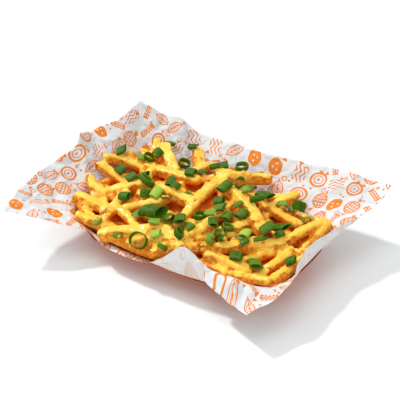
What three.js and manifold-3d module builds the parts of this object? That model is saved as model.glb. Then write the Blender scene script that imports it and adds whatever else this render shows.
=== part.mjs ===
// Cheese fries in a low board tray lined with a sheet of greaseproof paper, topped with cut spring onion.
// Millimetres, +Z up. The tray stands on z = 0 with its length along X, and the origin is under its middle.

import * as THREE from "three";
import { mergeVertices } from "three/addons/utils/BufferGeometryUtils.js";
import Module from "manifold-3d";

const wasm = await Module();
wasm.setup();

// Driving dimensions

const TRAY = { halfLength: 90, halfWidth: 37, cornerRadius: 9, wall: 30, board: 0.6 };
const WALL_RISE = { corner: 62, longSideFoot: 58, longSideRim: 18, endFoot: 62, endRim: 50 }; // degrees
const PAPER = { thickness: 0.4, gap: 0.35 };
const FRY = {
  width: 9,
  shortest: 46,
  longest: 66,
  sink: 2.3,
  join: 12,
  reach: 6,
  steepest: 0.26,
  buried: 12,
};
const HEAP = { crown: 20, halfLength: 104, halfWidth: 76, columns: 5, rows: 4, pitch: 34, seed: 20260 };
const THINNING = 0.35;
const CORE = { depth: 15, lowest: 12 };
const INSIDE = { halfLength: 102, halfWidth: 56 }; // how far the ends of the lower fries may reach
const ONION = { wall: 1.1, sides: 6, rest: 0.3 };

// Small helpers

const radians = (degrees) => (degrees * Math.PI) / 180;
const mix = (a, b, share) => a + (b - a) * share;
const clamp = (value, low, high) => Math.min(high, Math.max(low, value));

// A seeded draw from 0 to 1, the same on every run.
function drawer(seed) {
  let state = seed;
  return () => {
    state = (state * 1664525 + 1013904223) % 4294967296;
    return state / 4294967296;
  };
}

function solidOf(geometry) {
  const bare = geometry.clone();
  bare.deleteAttribute("normal");
  bare.deleteAttribute("uv");
  const merged = mergeVertices(bare, 1e-3);
  return new wasm.Manifold(
    new wasm.Mesh({
      numProp: 3,
      vertProperties: new Float32Array(merged.attributes.position.array),
      triVerts: new Uint32Array(merged.index.array),
    }),
  );
}

function geometryOf(solid) {
  const made = solid.getMesh();
  const geometry = new THREE.BufferGeometry();
  geometry.setAttribute("position", new THREE.BufferAttribute(made.vertProperties, 3));
  geometry.setIndex(new THREE.BufferAttribute(made.triVerts, 1));
  return geometry;
}

// A closed skin through rings of points: neighbouring rings are joined, and the first and last are capped.
// From the ring numbered `back` on, the faces are split the other way, so that a thin sheet whose rings go
// up one face and back down the other has both faces split into the same triangles.
function loft(rings, back = rings.length) {
  const count = rings[0].length;
  const points = rings.flat();
  const faces = [];
  for (let k = 0; k + 1 < rings.length; k++) {
    for (let j = 0; j < count; j++) {
      const a = k * count + j;
      const b = k * count + ((j + 1) % count);
      const [c, d] = [a + count, b + count];
      faces.push(...(k < back ? [a, b, d, a, d, c] : [a, b, c, b, d, c]));
    }
  }
  const cap = (ring, turned) => {
    const middle = ring
      .reduce((sum, p) => sum.add(p), new THREE.Vector3())
      .divideScalar(ring.length);
    const hub = points.push(middle) - 1;
    const first = rings.indexOf(ring) * count;
    for (let j = 0; j < count; j++) {
      const a = first + j;
      const b = first + ((j + 1) % count);
      faces.push(hub, ...(turned ? [b, a] : [a, b]));
    }
  };
  cap(rings[0], true);
  cap(rings[rings.length - 1], false);
  const geometry = new THREE.BufferGeometry().setFromPoints(points);
  geometry.setIndex(faces);
  return geometry;
}

// The outline of the tray, walked anticlockwise from its front left corner. A station says which side it is
// on, and whether it is in the corner arc before the side, along the side, or in the arc after it.

const SIDES = [
  { name: "front", length: "halfLength", outward: -90 },
  { name: "right", length: "halfWidth", outward: 0 },
  { name: "back", length: "halfLength", outward: 90 },
  { name: "left", length: "halfWidth", outward: 180 },
];

function stations(arcSteps, longSteps, shortSteps) {
  const list = [];
  SIDES.forEach((side, index) => {
    const steps = index % 2 ? shortSteps : longSteps;
    for (let i = 0; i < arcSteps; i++) list.push({ index, turn: -45 + (45 * i) / arcSteps, along: -1 });
    for (let i = 0; i < steps; i++) list.push({ index, turn: 0, along: -1 + (2 * i) / steps });
    for (let i = 0; i < arcSteps; i++) list.push({ index, turn: (45 * i) / arcSteps, along: 1 });
  });
  return list;
}

// The floor outline at a station, its outward direction in plan, and how far round its side it is, 0 to 1.
function outline(station) {
  const side = SIDES[station.index];
  const other = SIDES[(station.index + 1) % 4];
  const angle = radians(side.outward + station.turn);
  const radius = TRAY.cornerRadius;
  const reach = TRAY[other.length] - radius;
  const run = (TRAY[side.length] - radius) * station.along;
  const facing = radians(side.outward);
  const outward = new THREE.Vector3(Math.cos(angle), Math.sin(angle), 0);
  const point = new THREE.Vector3(
    Math.cos(facing) * reach - Math.sin(facing) * run,
    Math.sin(facing) * reach + Math.cos(facing) * run,
    0,
  ).addScaledVector(outward, radius);
  const arc = (radius * Math.PI) / 4;
  const straight = 2 * (TRAY[side.length] - radius);
  const walked = arc + radius * radians(station.turn) + ((station.along + 1) / 2) * straight;
  return { point, outward, share: walked / (2 * arc + straight), long: station.index % 2 === 0 };
}

// The loaded wall stands steep at the corners and bows outwards along the sides. Returns a point at a given
// slant distance up the wall, moved off it towards the inside of the tray.
function wallPoint(station, slant, inset) {
  const { point, outward, share, long } = outline(station);
  const swell = Math.sin(Math.PI * clamp(share, 0, 1));
  const bow = swell * (2 - swell);
  const foot = mix(WALL_RISE.corner, long ? WALL_RISE.longSideFoot : WALL_RISE.endFoot, bow);
  const rim = mix(WALL_RISE.corner, long ? WALL_RISE.longSideRim : WALL_RISE.endRim, bow);
  const steps = 12;
  let out = 0;
  let up = 0;
  for (let i = 0; i < steps; i++) {
    const rise = radians(mix(foot, rim, (((i + 0.5) / steps) * slant) / TRAY.wall));
    out += (Math.cos(rise) * slant) / steps;
    up += (Math.sin(rise) * slant) / steps;
  }
  const rise = radians(mix(foot, rim, slant / TRAY.wall));
  return {
    at: point
      .clone()
      .addScaledVector(outward, out - Math.sin(rise) * inset)
      .setZ(up + Math.cos(rise) * inset),
    onward: outward.clone().multiplyScalar(Math.cos(rise)).setZ(Math.sin(rise)),
  };
}

function floorPoint(station, inset, height) {
  const { point, outward } = outline(station);
  return point.clone().addScaledVector(outward, -inset).setZ(height);
}

// Board tray: a folded blank with a flat floor and four walls, all one thickness.

const TRAY_STATIONS = stations(3, 12, 6);
const WALL_SLANTS = [8, 16, 23, 30];

function boardTray() {
  const foot = TRAY_STATIONS.map((s) => floorPoint(s, 0, 0));
  const outer = WALL_SLANTS.map((slant) => TRAY_STATIONS.map((s) => wallPoint(s, slant, 0).at));
  const inner = WALL_SLANTS.map((slant) =>
    TRAY_STATIONS.map((s) => wallPoint(s, slant, TRAY.board).at),
  );
  const floor = TRAY_STATIONS.map((s) => floorPoint(s, TRAY.board * 0.6, TRAY.board));
  return loft([foot, ...outer, ...inner.reverse(), floor], outer.length + 1);
}

// Paper liner: one sheet pressed into the tray. Beyond the rim it stands free, up to an edge that is given
// side by side as [share of the side, x, y, z], from the front left tip round to it again.

const TIPS = {
  frontLeft: [-135, -94, 43],
  frontRight: [103, -89, 29],
  backRight: [126, 110, 49],
  backLeft: [-119, 87, 69],
};
const FREE_EDGE = [
  [
    [0, ...TIPS.frontLeft],
    [0.02, -106, -80, 38],
    [0.04, -82, -64, 29],
    [0.09, -72, -58, 25],
    [0.14, -63, -61, 23],
    [0.19, -54, -64, 21],
    [0.34, -28, -66, 20],
    [0.46, -6, -66, 23],
    [0.55, 10, -65, 36],
    [0.62, 22, -61, 47],
    [0.68, 33, -60, 46],
    [0.75, 45, -62, 36],
    [0.8, 52, -69, 28],
    [0.89, 74, -78, 28],
    [1, ...TIPS.frontRight],
  ],
  [
    [0, ...TIPS.frontRight],
    [0.15, 112, -62, 31],
    [0.27, 115, -41, 35],
    [0.4, 109, -19, 41],
    [0.52, 107, 4, 43],
    [0.64, 109, 28, 41],
    [0.78, 118, 58, 42],
    [0.9, 126, 86, 45],
    [1, ...TIPS.backRight],
  ],
  [
    [0, ...TIPS.backRight],
    [0.17, 91, 107, 51],
    [0.33, 60, 105, 51],
    [0.5, 17, 98, 49],
    [0.66, -28, 98, 48],
    [0.77, -62, 98, 47],
    [0.83, -75, 99, 50],
    [0.87, -84, 95, 56],
    [0.93, -100, 90, 60],
    [1, ...TIPS.backLeft],
  ],
  [
    [0, ...TIPS.backLeft],
    [0.13, -125, 62, 60],
    [0.26, -136, 40, 57],
    [0.34, -140, 24, 57],
    [0.4, -139, 15, 51],
    [0.55, -142, -10, 48],
    [0.82, -143, -61, 45],
    [1, ...TIPS.frontLeft],
  ],
];

// A smooth line through the edge points of one side, at a share of the way along it.
function edgePoint(index, share) {
  const knots = FREE_EDGE[index];
  let i = 0;
  while (i + 2 < knots.length && share > knots[i + 1][0]) i++;
  const [a, b] = [knots[i], knots[i + 1]];
  const before = knots[Math.max(i - 1, 0)];
  const after = knots[Math.min(i + 2, knots.length - 1)];
  const width = b[0] - a[0];
  const t = clamp((share - a[0]) / width, 0, 1);
  const values = [1, 2, 3].map((n) => {
    const slopeA = ((b[n] - before[n]) / (b[0] - before[0])) * width;
    const slopeB = ((after[n] - a[n]) / (after[0] - a[0])) * width;
    const t2 = t * t;
    const t3 = t2 * t;
    const held = (2 * t3 - 3 * t2 + 1) * a[n] + (3 * t2 - 2 * t3) * b[n];
    return held + (t3 - 2 * t2 + t) * slopeA + (t3 - t2) * slopeB;
  });
  return new THREE.Vector3(...values);
}

// Soft buckles that the stiff sheet takes up as it leaves the rim, in millimetres.
function buckle(point, lift) {
  const wave =
    Math.sin(point.x * 0.11 + point.y * 0.05) +
    Math.sin(point.y * 0.13 - point.x * 0.07 + 1.7) +
    0.6 * Math.sin(point.x * 0.21 + point.y * 0.19 + 0.6);
  return 0.75 * lift * wave;
}

// Beside the tall flap at the front the sheet is pushed up into a ridge between the rim and its edge.
const RIDGE = { side: 0, share: 0.84, spread: 0.15, height: 14 };

function ridge(side, share, reach) {
  const off = Math.abs(share - RIDGE.share) / RIDGE.spread;
  if (side !== RIDGE.side || off > 1) return 0;
  return RIDGE.height * (1 - off ** 4) * Math.sin(Math.PI * reach) ** 1.5;
}

// The middle of the sheet's thickness beyond the rim; reach runs from 0 at the rim to 1 at the free edge.
function freePoint(station, reach, inset) {
  const { share } = outline(station);
  const { at, onward } = wallPoint(station, TRAY.wall, inset);
  const end = edgePoint(station.index, share);
  const span = end.distanceTo(at);
  const pull = Math.min(0.9 * span, 16);
  const r2 = reach * reach;
  const r3 = r2 * reach;
  const leave = onward.multiplyScalar(pull);
  const arrive = end.clone().sub(at).multiplyScalar(0.9);
  const point = at
    .clone()
    .multiplyScalar(2 * r3 - 3 * r2 + 1)
    .addScaledVector(leave, r3 - 2 * r2 + reach)
    .addScaledVector(end, 3 * r2 - 2 * r3)
    .addScaledVector(arrive, r3 - r2);
  point.z += buckle(point, Math.sin(Math.PI * Math.min(reach, 0.75)) * Math.min(1, span / 35));
  point.z += ridge(station.index, share, reach);
  return point;
}

const PAPER_INSET = TRAY.board + PAPER.gap + PAPER.thickness / 2;
const FREE_REACHES = [0.15, 0.35, 0.57, 0.79, 1];

// Rings of the sheet's middle surface, from the floor out to the free edge.
function sheetRings(list, slants, reaches) {
  return [
    list.map((s) => floorPoint(s, 14, PAPER_INSET)),
    list.map((s) => floorPoint(s, PAPER_INSET, PAPER_INSET)),
    ...slants.map((slant) => list.map((s) => wallPoint(s, slant, PAPER_INSET).at)),
    ...reaches.map((reach) => list.map((s) => freePoint(s, reach, PAPER_INSET))),
  ];
}

// The same rings moved along the surface's normal, which points into the tray.
function offsetRings(rings, distance) {
  const count = rings[0].length;
  return rings.map((ring, k) =>
    ring.map((point, j) => {
      if (k === 0) return point.clone().setZ(point.z + distance);
      const along = ring[(j + 1) % count].clone().sub(ring[(j + count - 1) % count]);
      const outer = rings[Math.min(k + 1, rings.length - 1)][j];
      const across = outer.clone().sub(rings[k - 1][j]);
      const normal = along.cross(across).normalize().negate();
      return point.clone().addScaledVector(normal, distance);
    }),
  );
}

function sheet(list, slants, reaches, thickness) {
  const rings = sheetRings(list, slants, reaches);
  const under = offsetRings(rings, -thickness / 2);
  const upper = offsetRings(rings, thickness / 2);
  return loft([...under, ...upper.reverse()], under.length);
}

// Height of the lining over the plan, as a grid of cells. It is what the fries lie on.

const CELL = 1.5;
const GRID = { columns: 180, rows: 140, x0: -135, y0: -105 };
const NOTHING = -1e9;

function cellAt(x, y) {
  const column = Math.floor((x - GRID.x0) / CELL);
  const row = Math.floor((y - GRID.y0) / CELL);
  if (column < 0 || row < 0 || column >= GRID.columns || row >= GRID.rows) return -1;
  return row * GRID.columns + column;
}

function raise(heights, x, y, z) {
  const cell = cellAt(x, y);
  if (cell >= 0 && z > heights[cell]) heights[cell] = z;
}

function liningHeights() {
  const heights = new Array(GRID.columns * GRID.rows).fill(NOTHING);
  const lift = PAPER.thickness / 2 + 0.7;
  for (let y = -TRAY.halfWidth; y <= TRAY.halfWidth; y += 1) {
    for (let x = -TRAY.halfLength; x <= TRAY.halfLength; x += 1) raise(heights, x, y, PAPER_INSET + lift);
  }
  const around = stations(40, 160, 80);
  for (const s of around) {
    for (let slant = 0; slant <= TRAY.wall; slant += 1) {
      const { at } = wallPoint(s, slant, PAPER_INSET + lift);
      raise(heights, at.x, at.y, at.z);
    }
    for (let i = 1; i <= 60; i++) {
      const p = freePoint(s, i / 60, PAPER_INSET);
      raise(heights, p.x, p.y, p.z + lift);
    }
  }
  return heights;
}

// The heap: first come the fries along the rim and an even layer over the core, each resting on whatever
// is below it or pushed down among it, and then the ones that show on top. The mound is higher at the back.

const moundHeight = (x, y) =>
  31 +
  0.09 * y -
  0.04 * x +
  HEAP.crown * Math.max(0, 1 - (x / HEAP.halfLength) ** 2 - ((y - 2) / HEAP.halfWidth) ** 2);

// The lowest resting line of a straight fry: its middle height and its slope. There is none where more
// than a fifth of it would lie beyond the paper.
function restingLine(heights, fry) {
  const [cx, sx] = [Math.cos(fry.heading), Math.sin(fry.heading)];
  const half = fry.length / 2;
  const needed = [];
  let bare = 0;
  for (let s = -half; s <= half + 0.01; s += 2) {
    let top = NOTHING;
    for (const side of [-0.5, -0.25, 0, 0.25, 0.5]) {
      const cell = cellAt(fry.x + cx * s - sx * side * fry.width, fry.y + sx * s + cx * side * fry.width);
      if (cell < 0 || heights[cell] === NOTHING) {
        bare++;
        continue;
      }
      const shoulder = fry.width / 2 - Math.abs(side) * fry.width * 0.35;
      top = Math.max(top, heights[cell] + shoulder);
    }
    needed.push([s, top - FRY.sink]);
  }
  if (bare > needed.length) return null;
  const heightFor = (slope) => needed.reduce((z, [s, top]) => Math.max(z, top - slope * s), NOTHING);
  let [low, high] = [-FRY.steepest, FRY.steepest];
  for (let i = 0; i < 30; i++) {
    const a = low + (high - low) / 3;
    const b = high - (high - low) / 3;
    if (heightFor(a) < heightFor(b)) high = b;
    else low = a;
  }
  const slope = (low + high) / 2;
  return { z: heightFor(slope), slope };
}

// Fries along the rim, laid first: [x, y, heading in degrees, length, width].
const RIM_FRIES = [
  [-66, -47, 12, 52, 9],
  [-20, -53, 4, 60, 9.5],
  [31, -46, -5, 58, 9],
  [71, -39, 22, 52, 9.5],
  [95, -10, 84, 56, 9],
  [96, 30, 80, 44, 8.5],
  [64, 53, -4, 56, 9],
  [4, 55, 5, 60, 9],
  [-62, 52, -6, 56, 9],
  [-94, 22, 68, 48, 9],
  [-94, -20, -78, 50, 9],
];

// The fries that show on top, stuck fast in the sauce where they lie: [x, y, z, heading, rise, length,
// width], with the place of the middle, and the heading in plan and the rise above level in degrees.
const TOP_FRIES = [
  [71, -12, 27, 58, 0, 42, 8],
  [-38, -53, 28, 24, 5, 42, 7.5],
  [9, 75, 36, 22, 19, 43, 8],
  [-85, 35, 35, 12, -13, 42, 8],
  [-98, -16, 33, -43, -11, 42, 8],
  [-94, 11, 35, -7, -14, 43, 8],
  [-99, 35, 37, 45, -17, 42, 9],
  [-82, 37, 34, -58, -17, 43, 8],
  [-91, 42, 31, -8, -39, 32, 7.5],
  [-64, 53, 41, -40, -9, 42, 10.5],
  [-83, 56, 39, -71, -31, 31, 6],
  [-39, 63, 36, -52, -13, 43, 10],
  [-49, 34, 41, -6, 9, 62, 9],
  [-34, 53, 39, 85, -8, 42, 7.5],
  [49, 51, 35, 71, 1, 42, 9],
  [33, 49, 38, 45, -11, 56, 8],
  [7, 62, 41, 37, -6, 51, 9],
  [-85, -33, 33, -1, -4, 42, 10.5],
  [-90, -16, 32, -44, 2, 42, 7.5],
  [-81, -43, 29, -24, -6, 42, 7.5],
  [-72, -3, 38, 37, 13, 42, 10],
  [-67, -28, 34, 88, 16, 41, 9],
  [-50, -35, 34, -24, -2, 42, 7.5],
  [-41, -17, 41, 37, 11, 41, 8],
  [-20, -27, 37, 0, 1, 42, 9],
  [54, -38, 28, 10, -9, 42, 10],
  [15, -5, 42, 69, 6, 42, 8],
  [35, -9, 38, 59, 4, 42, 8],
  [17, -9, 41, 56, 3, 42, 8],
  [-3, -5, 44, -84, -8, 43, 9],
  [56, 40, 35, -1, -14, 52, 8],
  [-13, -48, 32, 30, 13, 45, 10],
  [6, -48, 32, 46, 10, 41, 8],
  [-32, -47, 33, 22, 10, 64, 10],
  [-23, 1, 46, -8, 1, 42, 10],
  [14, -34, 37, 69, 16, 51, 10],
  [-8, 36, 43, -81, 8, 69, 9],
  [35, 19, 44, -30, -8, 64, 11.5],
  [55, -15, 33, 42, -2, 78, 10],
  [87, 25, 34, 70, 4, 56, 8],
  [86, -16, 25, 74, 6, 52, 9],
];

// One fry: a cut stick, slightly bent and a little less high than wide. Blunt ones have bevelled ends.
function fryGeometry(fry) {
  const geometry = new THREE.CylinderGeometry(1, 1, 2, fry.blunt ? 6 : 5, fry.blunt ? 4 : 2);
  const position = geometry.attributes.position;
  const half = fry.length / 2;
  const turned = new THREE.Matrix4()
    .makeTranslation(fry.x, fry.y, fry.z)
    .multiply(new THREE.Matrix4().makeRotationZ(fry.heading))
    .multiply(new THREE.Matrix4().makeRotationY(-Math.atan(fry.slope)));
  for (let i = 0; i < position.count; i++) {
    const t = position.getY(i);
    const end = Math.abs(t) > 0.9;
    const girth = fry.width * (end && fry.blunt ? 0.34 : 0.54 - 0.04 * Math.abs(t));
    const along = Math.abs(t) > 0.4 && !end ? Math.sign(t) * 0.9 : t;
    const angle = Math.atan2(-position.getZ(i), position.getX(i)) + fry.roll;
    const radius = Math.hypot(position.getX(i), position.getZ(i));
    const point = new THREE.Vector3(
      along * half,
      Math.cos(angle) * radius * girth + fry.bend * (0.5 - t * t),
      Math.sin(angle) * radius * girth * 0.94,
    ).applyMatrix4(turned);
    position.setXYZ(i, point.x, point.y, point.z);
  }
  return geometry;
}

// The buried part of the heap is one solid mass in the lining, up to the fries that show.
const coreHeight = (x, y) => Math.max(moundHeight(x, y) - CORE.depth, CORE.lowest);

function coreGeometry() {
  const list = stations(2, 8, 5);
  const inset = PAPER_INSET + PAPER.thickness / 2 + 0.8;
  const rim = list.map((s) => wallPoint(s, 24, inset).at);
  const dome = [0.88, 0.7, 0.5, 0.3, 0.12].map((share) =>
    rim.map((p) => {
      const [x, y] = [p.x * share, p.y * share];
      return new THREE.Vector3(x, y, coreHeight(x, y));
    }),
  );
  return loft([
    list.map((s) => floorPoint(s, inset, inset)),
    list.map((s) => wallPoint(s, 15, inset).at),
    rim,
    ...dome,
  ]);
}

// Heights of a mesh seen from above, added to a grid.
function raiseMesh(heights, geometry) {
  const position = geometry.attributes.position;
  const index = geometry.index.array;
  const [a, b, c] = [new THREE.Vector3(), new THREE.Vector3(), new THREE.Vector3()];
  for (let i = 0; i < index.length; i += 3) {
    [a, b, c].forEach((corner, k) => corner.fromBufferAttribute(position, index[i + k]));
    const steps = Math.ceil(Math.max(a.distanceTo(b), b.distanceTo(c), c.distanceTo(a)) / (0.7 * CELL));
    for (let u = 0; u <= steps; u++) {
      for (let v = 0; v <= steps - u; v++) {
        const point = a.clone().multiplyScalar(u / steps);
        point.addScaledVector(b, v / steps).addScaledVector(c, 1 - (u + v) / steps);
        raise(heights, point.x, point.y, point.z);
      }
    }
  }
}

// Spring onion: short lengths cut across the hollow leaf. Each is [x, y, diameter, length, heading, rise]:
// the heading of its axis in plan and the rise of that axis above level, in degrees. A ring has a rise
// near 90 and a length on its side has one near 0.

const ONION_SLICES = [
  [-105, 36, 9, 8, 40, 20],
  [-91, 15, 9, 8, 70, 30],
  [-72, 4, 8, 9, 60, 25],
  [-67, 15, 9, 10, 10, 30],
  [-78, 73, 10, 3, 80, 70],
  [-78, 41, 10, 4, 20, 65],
  [-45, 47, 10, 6, -30, 60],
  [-29, 33, 9, 9, 10, 10],
  [-16, 66, 8, 8, 50, 15],
  [1, 69, 14, 4, 90, 75],
  [-54, 3, 13, 5, 60, 60],
  [-36, 12, 6, 16, -80, 8],
  [-47, -10, 10, 6, 120, 65],
  [-37, -8, 8, 11, 95, 15],
  [-25, -11, 8, 9, -60, 35],
  [-61, -21, 9, 9, 0, 15],
  [-26, -29, 13, 15, -12, 12],
  [-10, -29, 9, 8, -20, 20],
  [11, 25, 8, 11, 80, 20],
  [19, 36, 10, 5, -40, 60],
  [15, 10, 9, 8, 10, 20],
  [21, 1, 8, 8, 20, 15],
  [12, -16, 11, 4, 60, 75],
  [1, -29, 8, 12, -50, 10],
  [10, -44, 9, 5, 30, 60],
  [-9, -50, 8, 8, 30, 20],
  [-20, -60, 15, 5, -100, 50],
  [28, -20, 7, 13, -60, 10],
  [38, -13, 11, 4, 40, 72],
  [30, -1, 7, 8, 90, 15],
  [39, 7, 8, 9, 70, 20],
  [52, -9, 8, 13, -70, 12],
  [58, -32, 9, 10, 10, 10],
  [75, -30, 9, 11, -60, 12],
  [40, 43, 8, 12, -20, 8],
  [71, 48, 11, 8, 100, 50],
  [43, 25, 12, 4, 150, 65],
  [67, 2, 9, 12, 60, 20],
  [70, 19, 9, 12, -10, 20],
  [97, -10, 8, 8, 30, 25],
];

// The smaller bits, in the same order of sizes. They stick to the sauce and belong to the heap.
const SMALL_BITS = [
  [-86, 40, 6, 7, 30, 10],
  [-75, 50, 7, 7, 80, 20],
  [-55, 76, 5, 8, 20, 10],
  [-25, 45, 5, 7, -20, 10],
  [-17, 53, 5, 9, 40, 10],
  [-24, 2, 6, 6, 90, 20],
  [-53, -17, 6, 7, 40, 10],
  [-18, -38, 6, 9, 0, 8],
  [-38, -34, 6, 8, 60, 20],
  [-11, 4, 7, 4, 60, 40],
  [22, 48, 7, 8, 0, 10],
  [28, 31, 6, 6, 20, 20],
  [18, -8, 6, 8, 20, 10],
  [11, -31, 6, 7, 70, 20],
  [2, -57, 7, 4, 80, 40],
  [-41, -60, 6, 6, -20, 20],
  [-68, -52, 4, 8, 80, 20],
  [35, -21, 6, 7, 10, 20],
  [31, 14, 4, 8, 70, 10],
  [31, -28, 6, 6, 30, 20],
  [34, -35, 7, 4, 60, 40],
  [41, -26, 6, 6, 0, 30],
  [57, -18, 5, 8, 60, 20],
  [57, 45, 6, 8, -60, 10],
  [65, 48, 6, 6, 0, 20],
  [82, 42, 6, 8, -60, 30],
  [76, 7, 5, 8, 50, 10],
  [66, -7, 4, 11, 30, 5],
];

function placeSlice(geometry, [x, y, , , heading, rise], z) {
  const turned = new THREE.Matrix4()
    .makeTranslation(x, y, z)
    .multiply(new THREE.Matrix4().makeRotationZ(radians(heading)))
    .multiply(new THREE.Matrix4().makeRotationY(-radians(rise)))
    .multiply(new THREE.Matrix4().makeRotationZ(-Math.PI / 2));
  return geometry.applyMatrix4(turned);
}

function ringGeometry([, , diameter, length]) {
  const [outer, inner, half] = [diameter / 2, diameter / 2 - ONION.wall, length / 2];
  const section = [
    [inner, -half],
    [outer, -half],
    [outer, half],
    [inner, half],
    [inner, -half],
  ].map((p) => new THREE.Vector2(...p));
  return new THREE.LatheGeometry(section, ONION.sides);
}

const bitGeometry = ([, , diameter, length]) =>
  new THREE.CylinderGeometry(diameter / 2, diameter / 2, length, 5, 1);

// Height at which a piece just touches what is below it, found from the grid under its outline.
function touchHeight(heights, shape) {
  const position = shape.attributes.position;
  let lift = NOTHING;
  for (let i = 0; i < position.count; i++) {
    const cell = cellAt(position.getX(i), position.getY(i));
    if (cell >= 0 && heights[cell] > NOTHING) lift = Math.max(lift, heights[cell] - position.getZ(i));
  }
  return lift;
}

// Build

const linerGuard = solidOf(sheet(TRAY_STATIONS, WALL_SLANTS, FREE_REACHES, PAPER.thickness + 1));
const lining = liningHeights();
const surface = [...lining];
const core = coreGeometry();
raiseMesh(surface, core);
let heap = solidOf(core).subtract(linerGuard);

// Lays a fry where it rests, lowered until it is stuck to the rest of the heap.
function layFry(fry) {
  let solid = null;
  let shared = 0;
  let geometry = null;
  for (let drop = 0; shared < FRY.join && drop < FRY.reach; drop += 0.5) {
    geometry = fryGeometry({ ...fry, z: fry.z - drop });
    solid = solidOf(geometry);
    shared = solid.intersect(heap).volume();
  }
  if (shared < FRY.join) return;
  heap = heap.add(solid.subtract(linerGuard));
  raiseMesh(surface, geometry);
}

// A fry of the lower layers lies on what is below it. Where that is higher than the ones on top leave room
// for, it is pushed down among the others, but never into the lining.
function settle(fry) {
  const rest = restingLine(surface, fry);
  const room = moundHeight(fry.x, fry.y) - FRY.buried;
  if (!rest || rest.z < room) return rest && { ...fry, ...rest };
  const lowest = restingLine(lining, fry);
  return { ...fry, z: Math.max(lowest.z, room), slope: lowest.slope };
}

const draw = drawer(HEAP.seed);
const crook = (length) => ({ bend: (draw() - 0.5) * 0.14 * length, roll: draw() * Math.PI });

for (const [x, y, heading, length, width] of RIM_FRIES) {
  const fry = settle({ x, y, heading: radians(heading), length, width, blunt: true, ...crook(length) });
  if (fry) layFry(fry);
}
for (let row = 0; row < HEAP.rows; row++) {
  for (let column = 0; column < HEAP.columns; column++) {
    const length = mix(FRY.shortest, FRY.longest, draw() ** 2);
    const width = FRY.width * (0.9 + 0.24 * draw());
    const x = HEAP.pitch * (column - (HEAP.columns - 1) / 2 + 0.5 * (draw() - 0.5));
    const y = 0.86 * HEAP.pitch * (row - (HEAP.rows - 1) / 2 + 0.5 * (draw() - 0.5));
    const heading = draw() * Math.PI;
    const reachX = INSIDE.halfLength - (length / 2) * Math.abs(Math.cos(heading));
    const reachY = INSIDE.halfWidth - (length / 2) * Math.abs(Math.sin(heading));
    const fry = settle({
      x: clamp(x, -reachX, reachX),
      y: clamp(y, -reachY, reachY),
      heading,
      length,
      width,
      ...crook(length),
    });
    if (fry) layFry(fry);
  }
}
for (const [x, y, z, heading, rise, length, width] of TOP_FRIES) {
  const lie = { x, y, z, heading: radians(heading), slope: Math.tan(radians(rise)) };
  layFry({ ...lie, length, width, blunt: true, ...crook(length) });
}
for (const bit of SMALL_BITS) {
  const sunk = touchHeight(surface, placeSlice(bitGeometry(bit), bit, 0)) - 1.2;
  heap = heap.add(solidOf(placeSlice(bitGeometry(bit), bit, sunk)));
}
// Near points are merged between two rounds of thinning, and slivers that this sets loose are dropped.
const largest = (solid) => solid.decompose().reduce((a, b) => (b.volume() > a.volume() ? b : a));
const thinned = (solid) => largest(solidOf(geometryOf(solid.simplify(THINNING))));
heap = thinned(thinned(thinned(heap.subtract(linerGuard))));

// Each slice of onion comes down on the heap until it all but touches it.
const onions = [];
for (const slice of ONION_SLICES) {
  let z = touchHeight(surface, placeSlice(ringGeometry(slice), slice, 0)) - 1.5;
  let solid = null;
  const clear = (other) => solid.minGap(other, 2) >= ONION.rest;
  do {
    z += 0.15;
    solid = solidOf(placeSlice(ringGeometry(slice), slice, z));
  } while (!clear(heap) || !clear(linerGuard) || !onions.every((other) => clear(other)));
  onions.push(solid);
}

const material = (color, roughness) => new THREE.MeshStandardMaterial({ color, roughness, metalness: 0 });
const boardOrange = material(0xd9620f, 0.6);
const paperWhite = material(0xf1f0ec, 0.7);
const cheeseGold = material(0xf3a92c, 0.35);
const onionGreen = material(0x4f8f1e, 0.45);

const object = new THREE.Group();

function addPiece(name, geometry, look) {
  const mesh = new THREE.Mesh(geometry, look);
  mesh.name = name;
  object.add(mesh);
}

addPiece("board_tray", boardTray(), boardOrange);
addPiece("paper_liner", sheet(TRAY_STATIONS, WALL_SLANTS, FREE_REACHES, PAPER.thickness), paperWhite);
addPiece("cheese_fries", geometryOf(heap), cheeseGold);
onions.forEach((solid, i) => {
  addPiece(`onion_slice_${String(i + 1).padStart(2, "0")}`, geometryOf(solid), onionGreen);
});

export default object;
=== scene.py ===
import itertools
import math
import random

import bmesh
import bpy
import numpy as np
from mathutils import Matrix, Vector, noise
from mathutils.bvhtree import BVHTree


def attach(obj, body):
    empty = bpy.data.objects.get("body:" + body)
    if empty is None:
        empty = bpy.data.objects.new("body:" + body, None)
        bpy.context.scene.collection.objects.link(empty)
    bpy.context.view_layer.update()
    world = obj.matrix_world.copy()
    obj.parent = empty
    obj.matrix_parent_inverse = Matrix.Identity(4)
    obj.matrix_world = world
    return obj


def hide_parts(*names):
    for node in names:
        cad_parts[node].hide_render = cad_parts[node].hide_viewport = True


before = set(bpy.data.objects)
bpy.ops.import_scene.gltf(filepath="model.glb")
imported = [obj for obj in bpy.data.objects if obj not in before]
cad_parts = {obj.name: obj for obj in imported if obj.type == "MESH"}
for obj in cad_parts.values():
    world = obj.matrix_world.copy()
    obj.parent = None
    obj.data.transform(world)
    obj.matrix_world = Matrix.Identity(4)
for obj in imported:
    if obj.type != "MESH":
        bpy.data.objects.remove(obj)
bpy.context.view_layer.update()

# The table and the light: a pale matt top that runs out of sight, a lamp on the left, a weaker and softer
# one high above and an even bright room. The camera stands in front, a third of the way up from level to
# straight above, and looks down on the tray.

MM = 0.001
scene = bpy.context.scene
scene.view_settings.view_transform = "Standard"


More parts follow.
